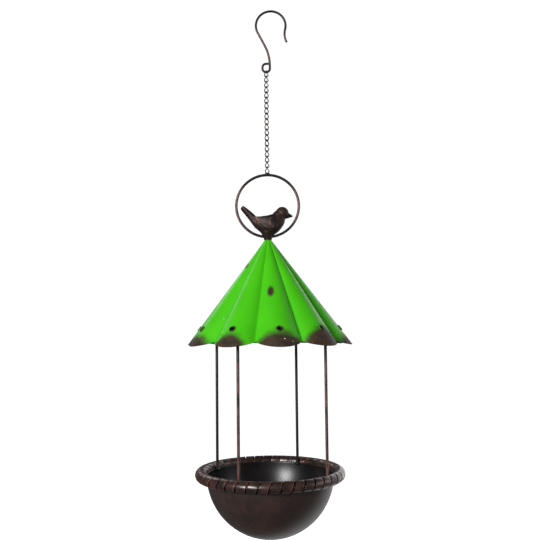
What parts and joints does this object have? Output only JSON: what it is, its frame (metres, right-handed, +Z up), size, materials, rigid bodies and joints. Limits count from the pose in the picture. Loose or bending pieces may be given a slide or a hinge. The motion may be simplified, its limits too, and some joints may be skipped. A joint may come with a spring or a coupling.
{
  "type": "hanging bird feeder",
  "caption": "Hanging bird feeder: hook, twisted-link chain, hoop with a cast bird, lobed sheet roof on rods over a round bowl with a strip-wound rim.",
  "frame": {"origin": "the point inside the hook's bow that hangs on a branch, plumb above the chain and the bowl", "axes": "+Z up along the chain, +X the way the bird faces, the picture looks along +Y"},
  "size_m": [0.1672, 0.168, 0.5415],
  "materials": {
    "hook_wire": "satin dark bronze",
    "chain_wire": "satin dark bronze",
    "hoop_wire": "satin dark bronze",
    "rod_wire": "satin dark bronze",
    "bird_casting": "worn bronze",
    "roof_enamel": "satin, worn edges",
    "bowl_paint": "semi-gloss",
    "rim_core_paint": "semi-gloss",
    "rim_strip": "worn edges",
    "weld_metal": "rough, painted over"
  },
  "bodies": {
    "hook": {"hook": "hook_wire"},
    "link_01": {"link_01": "chain_wire"},
    "link_02": {"link_02": "chain_wire"},
    "link_03": {"link_03": "chain_wire"},
    "link_04": {"link_04": "chain_wire"},
    "link_05": {"link_05": "chain_wire"},
    "link_06": {"link_06": "chain_wire"},
    "link_07": {"link_07": "chain_wire"},
    "link_08": {"link_08": "chain_wire"},
    "link_09": {"link_09": "chain_wire"},
    "link_10": {"link_10": "chain_wire"},
    "link_11": {"link_11": "chain_wire"},
    "link_12": {"link_12": "chain_wire"},
    "link_13": {"link_13": "chain_wire"},
    "link_14": {"link_14": "chain_wire"},
    "link_15": {"link_15": "chain_wire"},
    "link_16": {"link_16": "chain_wire"},
    "link_17": {"link_17": "chain_wire"},
    "link_18": {"link_18": "chain_wire"},
    "feeder": {"hoop_eye": "chain_wire", "hoop": "hoop_wire", "bird": "bird_casting", "roof": "roof_enamel", "rod_front_left": "rod_wire", "rod_front_right": "rod_wire", "rod_back_right": "rod_wire", "rod_back_left": "rod_wire", "bowl": "bowl_paint", "rim_core": "rim_core_paint", "rim_wrap": "rim_strip", "weld_beads": "weld_metal"}
  },
  "joints": [
    {"name": "hinge_01", "type": "hinge", "parent": "hook", "child": "link_01", "pos_m": [0, 0, -0.0633], "axis": [1, 0, 0], "range_deg": [-60, 60]},
    {"name": "hinge_02", "type": "hinge", "parent": "link_01", "child": "link_02", "pos_m": [0, 0, -0.06711], "axis": [0.1059, 0.9944, 0], "range_deg": [-60, 60]},
    {"name": "hinge_03", "type": "hinge", "parent": "link_02", "child": "link_03", "pos_m": [0, 0, -0.07397], "axis": [-0.9944, 0.1059, 0], "range_deg": [-60, 60]},
    {"name": "hinge_04", "type": "hinge", "parent": "link_03", "child": "link_04", "pos_m": [0, 0, -0.07843], "axis": [-0.3007, -0.9537, 0], "range_deg": [-60, 60]},
    {"name": "hinge_05", "type": "hinge", "parent": "link_04", "child": "link_05", "pos_m": [0, 0, -0.08529], "axis": [0.9537, -0.3007, 0], "range_deg": [-60, 60]},
    {"name": "hinge_06", "type": "hinge", "parent": "link_05", "child": "link_06", "pos_m": [0, 0, -0.08975], "axis": [0.4511, 0.8925, 0], "range_deg": [-60, 60]},
    {"name": "hinge_07", "type": "hinge", "parent": "link_06", "child": "link_07", "pos_m": [0, 0, -0.09661], "axis": [-0.8925, 0.4511, 0], "range_deg": [-60, 60]},
    {"name": "hinge_08", "type": "hinge", "parent": "link_07", "child": "link_08", "pos_m": [0, 0, -0.10107], "axis": [-0.543, -0.8397, 0], "range_deg": [-60, 60]},
    {"name": "hinge_09", "type": "hinge", "parent": "link_08", "child": "link_09", "pos_m": [0, 0, -0.10793], "axis": [0.8397, -0.543, 0], "range_deg": [-60, 60]},
    {"name": "hinge_10", "type": "hinge", "parent": "link_09", "child": "link_10", "pos_m": [0, 0, -0.11239], "axis": [0.5736, 0.8192, 0], "range_deg": [-60, 60]},
    {"name": "hinge_11", "type": "hinge", "parent": "link_10", "child": "link_11", "pos_m": [0, 0, -0.11925], "axis": [-0.8192, 0.5736, 0], "range_deg": [-60, 60]},
    {"name": "hinge_12", "type": "hinge", "parent": "link_11", "child": "link_12", "pos_m": [0, 0, -0.12371], "axis": [-0.543, -0.8397, 0], "range_deg": [-60, 60]},
    {"name": "hinge_13", "type": "hinge", "parent": "link_12", "child": "link_13", "pos_m": [0, 0, -0.13057], "axis": [0.8397, -0.543, 0], "range_deg": [-60, 60]},
    {"name": "hinge_14", "type": "hinge", "parent": "link_13", "child": "link_14", "pos_m": [0, 0, -0.13503], "axis": [0.4511, 0.8925, 0], "range_deg": [-60, 60]},
    {"name": "hinge_15", "type": "hinge", "parent": "link_14", "child": "link_15", "pos_m": [0, 0, -0.14189], "axis": [-0.8925, 0.4511, 0], "range_deg": [-60, 60]},
    {"name": "hinge_16", "type": "hinge", "parent": "link_15", "child": "link_16", "pos_m": [0, 0, -0.14635], "axis": [-0.3007, -0.9537, 0], "range_deg": [-60, 60]},
    {"name": "hinge_17", "type": "hinge", "parent": "link_16", "child": "link_17", "pos_m": [0, 0, -0.15321], "axis": [0.9537, -0.3007, 0], "range_deg": [-60, 60]},
    {"name": "hinge_18", "type": "hinge", "parent": "link_17", "child": "link_18", "pos_m": [0, 0, -0.15767], "axis": [0.1059, 0.9944, 0], "range_deg": [-60, 60]},
    {"name": "hinge_19", "type": "hinge", "parent": "link_18", "child": "feeder", "pos_m": [0, 0, -0.16453], "axis": [-0.9944, 0.1059, 0], "range_deg": [-60, 60]}
  ]
}
